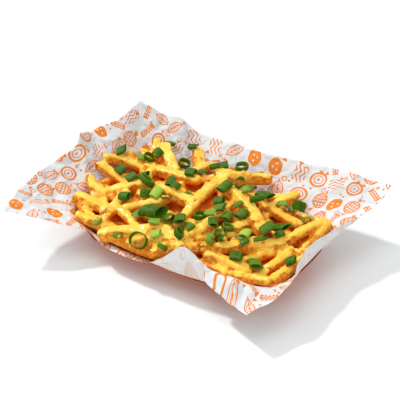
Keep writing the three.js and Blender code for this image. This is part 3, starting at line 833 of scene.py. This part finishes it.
def settled(samples, width):
    """The height and tilt at which a fry lies on the low places under it, or nothing where it won't fit."""
    if not all(samples):
        return None
    steepest, clearance, stands = 0.35, 0.4, 1.8
    third_lowest = sorted(top for _, top, _ in samples)[2]
    near = [(s, top) for s, top, _ in samples if top < third_lowest + 4]
    middle, level = (sum(values) / len(near) for values in zip(*near))
    spread = sum((s - middle) ** 2 for s, _ in near)
    tilt = sum((s - middle) * top for s, top in near) / max(spread, 1)
    tilt = max(-steepest, min(steepest, tilt))
    z = level - tilt * middle + stands - width * 0.45
    for s, top, bottom in samples:
        centre = z + tilt * s
        if centre - width / 2 < bottom + clearance or centre + width / 2 > top + FILL_REACH:
            return None
    return z, tilt


def lay_fries(heap, tree, draw):
    """The fries that show, and shorter ones that fill the gaps between them from below."""
    stick = stick_template()
    for number, fry in enumerate(TOP_FRIES):
        browned = 1.0 if number in BROWNED_FRIES else 0.8 * draw.random() ** 2
        lay_stick(heap, stick, fry, browned, draw)
    for row, column in itertools.product(FILL_ROWS, FILL_COLUMNS):
        x, y = ((place + draw.uniform(-0.4, 0.4)) * FILL_PITCH for place in (column, row))
        heading, length, width = draw.uniform(0, math.pi), draw.uniform(26, 46), draw.uniform(6.5, 9)
        laid = settled(heights_along(tree, x, y, heading, length), width)
        if laid:
            z, tilt = laid
            fry = (x, y, z, math.degrees(heading), math.degrees(math.atan(tilt)), length, width, 0)
            lay_stick(heap, stick, fry, draw.random() ** 2, draw)


def add_blob(heap, at, normal, size, stretch, turn):
    """A flattened drop of sauce sunk a third into the surface under it."""
    turned = Matrix.Rotation(turn, 4, "Z") @ Matrix.Diagonal((stretch, 1, 0.6, 1))
    place = Matrix.Translation(at - normal * size * 0.3) @ normal.to_track_quat("Z", "X").to_matrix().to_4x4()
    poured = heap.verts.layers.float["poured"]
    for v in bmesh.ops.create_icosphere(heap, subdivisions=2, radius=size, matrix=place @ turned)["verts"]:
        v[poured] = 1


def drop_sauce(heap, tree, draw):
    """Thick sauce: pools where it has collected on top, and at every third place a run that goes downhill."""
    for number in range(SAUCE_DROPS):
        hit, bottom, normal = top_and_bottom(tree, draw.uniform(*SAUCE_X), draw.uniform(*SAUCE_Y))
        size = draw.uniform(1.1, 2.4) * MM
        if not hit or bottom.z > hit.z - 3 * size:
            continue
        if number % 3:
            add_blob(heap, hit, normal, size, draw.uniform(1, 2.4), draw.uniform(0, math.pi))
            continue
        size = draw.uniform(1.1, 1.7) * MM
        for _ in range(draw.randrange(4, 12)):
            add_blob(heap, hit, normal, size, 1.2, 0)
            downhill = Vector((normal.x, normal.y, 0))
            if downhill.length < 0.05:
                downhill = Vector((math.cos(number), math.sin(number), 0))
            ahead = hit + downhill.normalized() * 1.1 * MM - DOWN * 2 * MM
            found, slope, _, _ = tree.ray_cast(ahead, DOWN)
            if not found or hit.z - found.z > 6 * MM:
                break
            hit, normal = found, (normal + slope).normalized()
            size *= 0.97


def skinned(mesh):
    """One even skin round everything in a mesh."""
    rough = piece_of("rough heap", mesh, [])
    skin = rough.modifiers.new("skin", "REMESH")
    skin.mode = "VOXEL"
    skin.voxel_size = VOXEL * MM
    evaluated = rough.evaluated_get(bpy.context.evaluated_depsgraph_get())
    made = bmesh.new()
    made.from_mesh(evaluated.to_mesh())
    bpy.data.objects.remove(rough)
    return made


def spots(point, size, seed):
    """Soft noise from -1 to 1 with patches of a given size."""
    return noise.noise(point / (size * MM) + Vector((seed, 0, 0)))


def smooth_step(value, low, high):
    """0 below low, 1 above high, and smooth between them."""
    t = min(max((value - low) / (high - low), 0), 1)
    return t * t * (3 - 2 * t)


def lining():
    """The paper's face on the food's side."""
    sheet = bmesh.new()
    sheet.from_mesh(liner.data)
    tree = BVHTree.FromBMesh(sheet)
    sheet.free()
    return tree


def kept_inside(place, paper):
    """A point, moved to the food's side of the paper where it would come through."""
    clear = 0.2 * MM
    near, normal, _, _ = paper.find_nearest(place, 5 * MM)
    if near is None:
        return place
    return place + normal * max(0, clear - (place - near).dot(normal))


def relief(mesh):
    """How far each point stands above the mean height of the tops around it, in millimetres."""
    cell, reach = 2, 4  # the size of a cell, and how many cells each way count
    places = np.array([v.co for v in mesh.verts]) / MM
    columns = np.floor(places[:, :2] / cell).astype(int)
    columns -= columns.min(axis=0) - reach
    tops = np.full(columns.max(axis=0) + 1 + reach, -1.0)
    np.maximum.at(tops, (columns[:, 0], columns[:, 1]), places[:, 2])
    filled = tops >= 0
    total, count = np.zeros(tops.shape), np.zeros(tops.shape)
    for dx in range(-reach, reach + 1):
        for dy in range(-reach, reach + 1):
            total += np.roll(np.where(filled, tops, 0), (dx, dy), (0, 1))
            count += np.roll(filled, (dx, dy), (0, 1))
    mean = total / np.maximum(count, 1)
    return places[:, 2] - mean[columns[:, 0], columns[:, 1]]


def coat(mesh, source, marks, paper):
    """Gives the skin its relief: a coat of sauce with a soft edge on what faces up, and battered crags."""
    mesh.normal_update()
    sauce = mesh.verts.layers.float.new("sauce")
    crust = mesh.verts.layers.float.new("crust")
    thickness, margin = 0.75, 2.5 * MM
    moved = []
    for v, stands_out in zip(mesh.verts, relief(mesh)):
        runny = Vector((v.co.x, v.co.y, v.co.z * 0.3))
        facing = 0.88 * (v.normal.z - 0.44) + 0.8 * spots(v.co, 13, 0) + 0.55 * spots(runny, 4.2, 20)
        _, _, face, _ = source.find_nearest(v.co)
        browned, poured = marks[face]
        facing += 0.45 * poured - 0.7 * browned + 0.09 * max(-5, min(3, stands_out))
        v[sauce] = smooth_step(facing, -0.12, 0.3)
        v[crust] = browned
        crag = 0.5 * spots(v.co, 3.2, 40) + 0.3 * spots(v.co, 1.6, 60)
        dent = -0.6 * max(0, spots(v.co, 8, 80))
        rise = thickness * v[sauce] + crag * (1.2 - 0.7 * v[sauce]) + dent
        near = paper.find_nearest(v.co, margin)[3]
        room = 1 if near is None else max(0, near / margin - 0.3)
        moved.append(v.co + v.normal * (rise * room * MM))
    for v, co in zip(mesh.verts, moved):
        v.co = co


def sky_seen_for_painted_shade(mesh):
    """How much of the sky each point of the skin sees, 0 deep down between the fries and 1 in the open, and
    less where the point lies below the tops around it: the material paints shade from this.
    """
    golden_angle, sight = 2.399963, 22 * MM
    tree = BVHTree.FromBMesh(mesh)
    rays = []
    for i in range(12):
        height = math.sqrt((i + 0.5) / 12)
        flat = math.sqrt(1 - height * height)
        rays.append(Vector((flat * math.cos(i * golden_angle), flat * math.sin(i * golden_angle), height)))
    stands_out = relief(mesh)
    seen = np.zeros(len(mesh.verts))
    for i, v in enumerate(mesh.verts):
        turn = v.normal.to_track_quat("Z", "X")
        start = v.co + v.normal * 0.3 * MM
        clear = sum(tree.ray_cast(start, turn @ ray, sight)[0] is None for ray in rays)
        # Points below the tops around them count as less open, so that painted shade falls between the fries.
        seen[i] = clear / len(rays) * (0.45 + 0.55 * smooth_step(stands_out[i], -6, -1.2))
    links = np.array([[e.verts[0].index, e.verts[1].index] for e in mesh.edges])
    ends, others = np.concatenate([links, links[:, ::-1]]).T
    count = np.bincount(ends, minlength=len(seen))
    for _ in range(3):
        seen = 0.4 * seen + 0.6 * np.bincount(ends, seen[others], len(seen)) / np.maximum(count, 1)
    return seen


def fried_and_sauced():
    """Fried batter, pale where thick and brown at cut ends, under a glossy cheese sauce, with deeper orange
    painted in as shade where the skin sees little sky.
    """
    paint = Paint("cheese sauce on fries")
    sauce, crust, sky = paint.read("sauce"), paint.read("crust"), paint.read("open")
    grain = paint.cloud(1.0 * MM, 3)
    grit = paint.cloud(2.1 * MM, 4)
    blotch = paint.cloud(5 * MM, 3)
    wide = paint.cloud(22 * MM)
    batter = paint.mix(blotch.step(0.35, 0.65), srgb(230, 134, 22), srgb(243, 168, 48))
    batter = paint.mix(grit.step(0.5, 0.62) * 0.6, batter, srgb(186, 88, 12))
    batter = paint.mix((1 - grit).step(0.52, 0.64) * 0.65, batter, srgb(248, 190, 88))
    browned = (crust * 1.2 + (paint.cloud(3 * MM, 3) - 0.5) * 0.9).step(0.35, 0.85)
    batter = paint.mix(browned * 0.8, batter, srgb(164, 74, 8))

    cheese = paint.mix(wide.step(0.35, 0.65), srgb(248, 190, 52), srgb(254, 212, 80))
    cheese = paint.mix(blotch.step(0.48, 0.7) * 0.55, cheese, srgb(240, 162, 36))
    cheese = paint.mix((1 - grit).step(0.54, 0.7) * 0.6, cheese, srgb(254, 222, 106))
    thick = (sauce + (grit - 0.5) * 0.7).step(0.25, 0.75)
    colour = paint.mix(thick, batter, cheese)

    # Painted shade: where little sky is seen, deep between the fries, the colour goes to a deeper orange, and
    # to the deepest orange in the most closed places.
    painted_gap_shade = 1 - sky.step(0.25, 0.8)
    colour = paint.mix(painted_gap_shade * (0.45 + 0.45 * grit.step(0.42, 0.6)), colour, srgb(236, 134, 26))
    colour = paint.mix((1 - sky.step(0.05, 0.4)) * 0.85, colour, srgb(222, 92, 4))
    pepper = paint.node("TexVoronoi", {}, {"Vector": paint.place(), "Scale": 130}, "Distance")
    colour = paint.mix((pepper < 0.08) * 0.85, colour, srgb(74, 40, 18))
    normal = paint.bump(grit * (1 - thick * 0.6), 1.6 * MM)
    normal = paint.bump(grain, 0.2 * MM, normal)
    looks = {
        "Base Color": colour,
        "Roughness": 0.5 - thick * 0.25 + grain * 0.1,
        "Specular IOR Level": 0.16,
        "Normal": normal,
        "Subsurface Weight": 0.05,
        "Subsurface Radius": (1.0, 0.45, 0.12),
        "Subsurface Scale": 1.5 * MM,
        "Coat Weight": thick * 0.35 * sky.step(0.4, 0.8),
        "Coat Roughness": 0.12,
    }
    return paint.finish(looks)


def smoothed(mesh, factor):
    """Moves each point a share of the way to the mean of those it is joined to."""
    bmesh.ops.smooth_vert(
        mesh, verts=mesh.verts, factor=factor, use_axis_x=True, use_axis_y=True, use_axis_z=True
    )


def cheese_fries():
    draw = random.Random(SEED)
    packed = bmesh.new()
    packed.from_mesh(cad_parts["cheese_fries"].data)
    bmesh.ops.remove_doubles(packed, verts=packed.verts, dist=1e-6)
    crust = packed.verts.layers.float.new("crust")
    poured = packed.verts.layers.float.new("poured")
    lay_fries(packed, BVHTree.FromBMesh(packed), draw)
    drop_sauce(packed, BVHTree.FromBMesh(packed), draw)
    source = BVHTree.FromBMesh(packed)
    marks = []
    for face in packed.faces:
        marks.append([sum(v[layer] for v in face.verts) / len(face.verts) for layer in (crust, poured)])
    skin = skinned(packed)
    smoothed(skin, 0.5)
    paper = lining()
    coat(skin, source, marks, paper)
    smoothed(skin, 0.3)
    for v in skin.verts:
        v.co = kept_inside(v.co, paper)
    skin.normal_update()
    # How open each point is, kept for the painted shade of the material.
    sky = skin.verts.layers.float.new("open")
    for v, seen in zip(skin.verts, sky_seen_for_painted_shade(skin)):
        v[sky] = seen
    triangles = 2 * len(skin.faces)
    heap = piece_of("fries_in_cheese_sauce", skin, [fried_and_sauced()])
    if triangles > MOST_TRIANGLES:
        fewer = heap.modifiers.new("fewer", "DECIMATE")
        fewer.ratio = MOST_TRIANGLES / triangles
    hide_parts("cheese_fries")
    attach(heap, "root")
    return heap


heap = cheese_fries()

# Spring onion: the hollow green leaf cut across into rings and short lengths, with smaller bits between.
# Each slice lies where its packed ring lies, a little flattened, and is pressed into the sauce below it.

LEAF_THICKNESS = 1.2
PALE_SLICES = {14: 0.85, 26: 0.8, 32: 1.0}  # how pale the ones cut near the white end are, by number
SLICE_WIDER, SLICE_LONGER, SLICE_SUNK = 1.06, 1.05, 0.8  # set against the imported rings
BIT_WIDER, BIT_LONGER, BIT_STANDS = 1.25, 1.1, 1.4
# The smaller bits: [x, y, diameter, length, heading, rise], turned as the leaf's axis in degrees.
SMALL_BITS = [
    [-86, 40, 6, 7, 30, 10],
    [-75, 50, 7, 7, 80, 20],
    [-55, 76, 5, 8, 20, 10],
    [-25, 45, 5, 7, -20, 10],
    [-17, 53, 5, 9, 40, 10],
    [-24, 2, 6, 6, 90, 20],
    [-53, -17, 6, 7, 40, 10],
    [-18, -38, 6, 9, 0, 8],
    [-38, -34, 6, 8, 60, 20],
    [-11, 4, 7, 4, 60, 40],
    [22, 48, 7, 8, 0, 10],
    [28, 31, 6, 6, 20, 20],
    [18, -8, 6, 8, 20, 10],
    [11, -31, 6, 7, 70, 20],
    [2, -57, 7, 4, 80, 40],
    [-41, -60, 6, 6, -20, 20],
    [-68, -52, 4, 8, 80, 20],
    [35, -21, 6, 7, 10, 20],
    [31, 14, 4, 8, 70, 10],
    [31, -28, 6, 6, 30, 20],
    [34, -35, 7, 4, 60, 40],
    [41, -26, 6, 6, 0, 30],
    [57, -18, 5, 8, 60, 20],
    [57, 45, 6, 8, -60, 10],
    [65, 48, 6, 6, 0, 20],
    [82, 42, 6, 8, -60, 30],
    [76, 7, 5, 8, 50, 10],
    [66, -7, 4, 11, 30, 5],
]


def ring_axis(points):
    """The middle, axis, radius and length of a short tube, from the spread of its points. Its axis is the
    main direction in which it is spread most unlike the other two."""
    cloud = np.array([p[:] for p in points])
    middle = cloud.mean(0)
    values, vectors = np.linalg.eigh(np.cov((cloud - middle).T))
    lone = 2 if values[2] - values[1] > values[1] - values[0] else 0
    axis = vectors[:, lone]
    along = (cloud - middle) @ axis
    away = np.linalg.norm(cloud - middle - np.outer(along, axis), axis=1)
    return Vector(middle), Vector(axis), away.max(), along.max() - along.min()


def cut_leaf(middle, axis, radius, length, pale, draw):
    """One cut piece of leaf: a wall section spun round, pressed oval and bent a little."""
    mesh = bmesh.new()
    section = bmesh.ops.create_circle(mesh, segments=12, radius=1)["verts"]
    wall = LEAF_THICKNESS * MM * draw.uniform(0.8, 1.25)
    for v in section:
        boxed = max(abs(v.co.x), abs(v.co.y))
        squarer = v.co / boxed ** 0.75
        v.co = Vector((radius - wall / 2 + squarer.x * wall / 2, 0, squarer.y * length / 2))
    long_edges = [e for e in mesh.edges if e.calc_length() > 1.6 * MM]
    bmesh.ops.subdivide_edges(mesh, edges=long_edges, cuts=3)
    bmesh.ops.spin(
        mesh, geom=mesh.verts[:] + mesh.edges[:], cent=(0, 0, 0), axis=(0, 0, 1), angle=2 * math.pi,
        steps=22, use_merge=True, use_duplicate=False,
    )
    bmesh.ops.recalc_face_normals(mesh, faces=mesh.faces)
    numbers = mesh.verts.layers.float
    inside, round_way, tone, end = (numbers.new(name) for name in ("inside", "round", "tone", "end"))
    lies_flat = abs(axis.z) < 0.6
    pressed = draw.uniform(0.42, 0.7) if lies_flat else draw.uniform(0.7, 1.0)
    seed = draw.uniform(0, 90)
    slant, curl = draw.uniform(-0.25, 0.25), draw.uniform(-0.05, 0.05)
    for v in mesh.verts:
        angle = math.atan2(v.co.y, v.co.x)
        reach = math.hypot(v.co.x, v.co.y)
        v[inside] = 1 - smooth_step(reach, radius - wall * 0.75, radius - wall * 0.35)
        v[round_way] = angle / (2 * math.pi) + 0.5
        v[end] = smooth_step(abs(v.co.z) / (length / 2), 0.86, 1.0)
        v[tone] = pale
        lobed = 1 + 0.06 * noise.noise(Vector((math.cos(angle), math.sin(angle), seed)))
        v.co.x *= lobed * (1 + 0.35 * (1 - pressed))
        v.co.y *= lobed * pressed
        v.co.z += v.co.x * slant
        v.co.x += curl * v.co.z * abs(v.co.z) / MM
    side = axis.cross(-DOWN).normalized() if lies_flat else Vector((math.cos(seed), math.sin(seed), 0))
    side = (side - axis * side.dot(axis)).normalized()
    turned = Matrix((side, axis.cross(side), axis)).transposed().to_4x4()
    mesh.transform(Matrix.Translation(middle) @ turned)
    return mesh


def press_down(mesh, tree, sink):
    """Moves a slice straight down or up until it is sunk a little in what lies under it."""
    gaps = []
    for v in mesh.verts:
        hit = tree.ray_cast(Vector((v.co.x, v.co.y, 0.3)), DOWN)[0]
        if hit:
            gaps.append(v.co.z - hit.z)
    mesh.transform(Matrix.Translation((0, 0, -min(gaps) - sink)))


def onion_leaf():
    """Moist green leaf: dark waxy outside with fine lengthwise fibres, paler wet inside and cut edges."""
    paint = Paint("spring onion leaf")
    tone, inside, end = paint.read("tone"), paint.read("inside"), paint.read("end")
    fibre = (paint.read("round") * 2 * math.pi * 15 + paint.cloud(4 * MM) * 3).math("SINE") * 0.5 + 0.5
    mottle = paint.cloud(2.5 * MM, 3)
    dark = paint.mix(mottle.step(0.3, 0.7), srgb(34, 68, 0), srgb(60, 100, 0))
    dark = paint.mix(fibre * 0.22, dark, srgb(94, 134, 6))
    pale = paint.mix(fibre * 0.5, srgb(142, 182, 46), srgb(200, 220, 112))
    outside = paint.mix(tone, dark, pale)
    lining = paint.mix(tone, srgb(80, 118, 4), srgb(206, 226, 130))
    colour = paint.mix(inside * 0.8, outside, lining)
    colour = paint.mix(end * 0.25, colour, srgb(118, 160, 30))
    normal = paint.bump(fibre * 0.6 + mottle * 0.4, 0.15 * MM)
    looks = {
        "Base Color": colour,
        "Roughness": 0.32 + mottle * 0.2,
        "Specular IOR Level": 0.1,
        "Normal": normal,
    }
    return paint.finish(looks)


def gathered(name, meshes, material):
    """Joins finished slices into one piece, which rides with the tray."""
    whole = bmesh.new()
    for mesh in meshes:
        part = bpy.data.meshes.new("slice")
        mesh.to_mesh(part)
        mesh.free()
        whole.from_mesh(part)
        bpy.data.meshes.remove(part)
    made = piece_of(name, whole, [material])
    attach(made, "root")
    return made


def spring_onion():
    draw = random.Random(SEED + 1)
    graph = bpy.context.evaluated_depsgraph_get()
    graph.update()
    below = BVHTree.FromObject(heap, graph)
    material = onion_leaf()
    names = sorted(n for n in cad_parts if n.startswith("onion_slice_"))
    rings = []
    for number, name in enumerate(names, 1):
        points = [v.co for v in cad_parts[name].data.vertices]
        middle, axis, radius, length = ring_axis(points)
        pale = PALE_SLICES.get(number, 0.18 * draw.random() ** 2)
        ring = cut_leaf(middle, axis, radius * SLICE_WIDER, length * SLICE_LONGER, pale, draw)
        press_down(ring, below, SLICE_SUNK * MM)
        rings.append(ring)
    slices = gathered("spring_onion_slices", rings, material)
    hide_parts(*names)
    bits = []
    for x, y, diameter, length, heading, rise in SMALL_BITS:
        hit, _, _ = top_and_bottom(below, x, y)
        if hit:
            radius, length = diameter / 2 * MM * BIT_WIDER, length * MM * BIT_LONGER
            bit = cut_leaf(hit, direction(heading, rise), radius, length, 0.5 * draw.random() ** 3, draw)
            above = max(v.co.z for v in bit.verts) - hit.z
            bit.transform(Matrix.Translation((0, 0, BIT_STANDS * MM - above)))
            bits.append(bit)
    gathered("spring_onion_bits", bits, material)


spring_onion()
